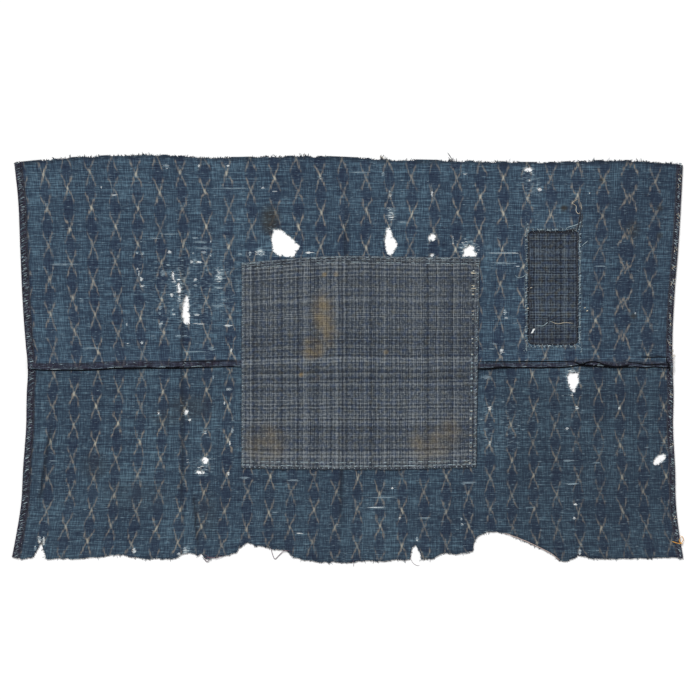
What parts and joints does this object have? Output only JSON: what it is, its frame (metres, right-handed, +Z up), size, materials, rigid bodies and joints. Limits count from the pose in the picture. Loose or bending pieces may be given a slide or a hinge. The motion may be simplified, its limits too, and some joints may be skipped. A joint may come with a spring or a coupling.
{
  "type": "patched cotton cloth",
  "caption": "Patched indigo cotton cloth lying flat: loom widths lapped at a seam, a check patch sewn over it, another behind a window, worn holes and a torn edge.",
  "frame": {"origin": "under the middle of the cloth's bounding box, on the surface that it lies on", "axes": "+X along the seam (the long side), +Y up the cloth from the torn edge to the raw edge, +Z up out of the cloth"},
  "size_m": [1.1071, 0.6716, 0.0067],
  "materials": {
    "indigo_cotton": "matt, worn, faded indigo with pale woven crosses",
    "check_cotton": "matt, grey-blue fine check with an ochre stain",
    "dark_check_cotton": "matt, dark navy fine check"
  },
  "bodies": {
    "root": {"panel_upper": "indigo_cotton", "panel_lower": "indigo_cotton", "patch_large": "check_cotton", "patch_small": "dark_check_cotton"}
  },
  "joints": []
}
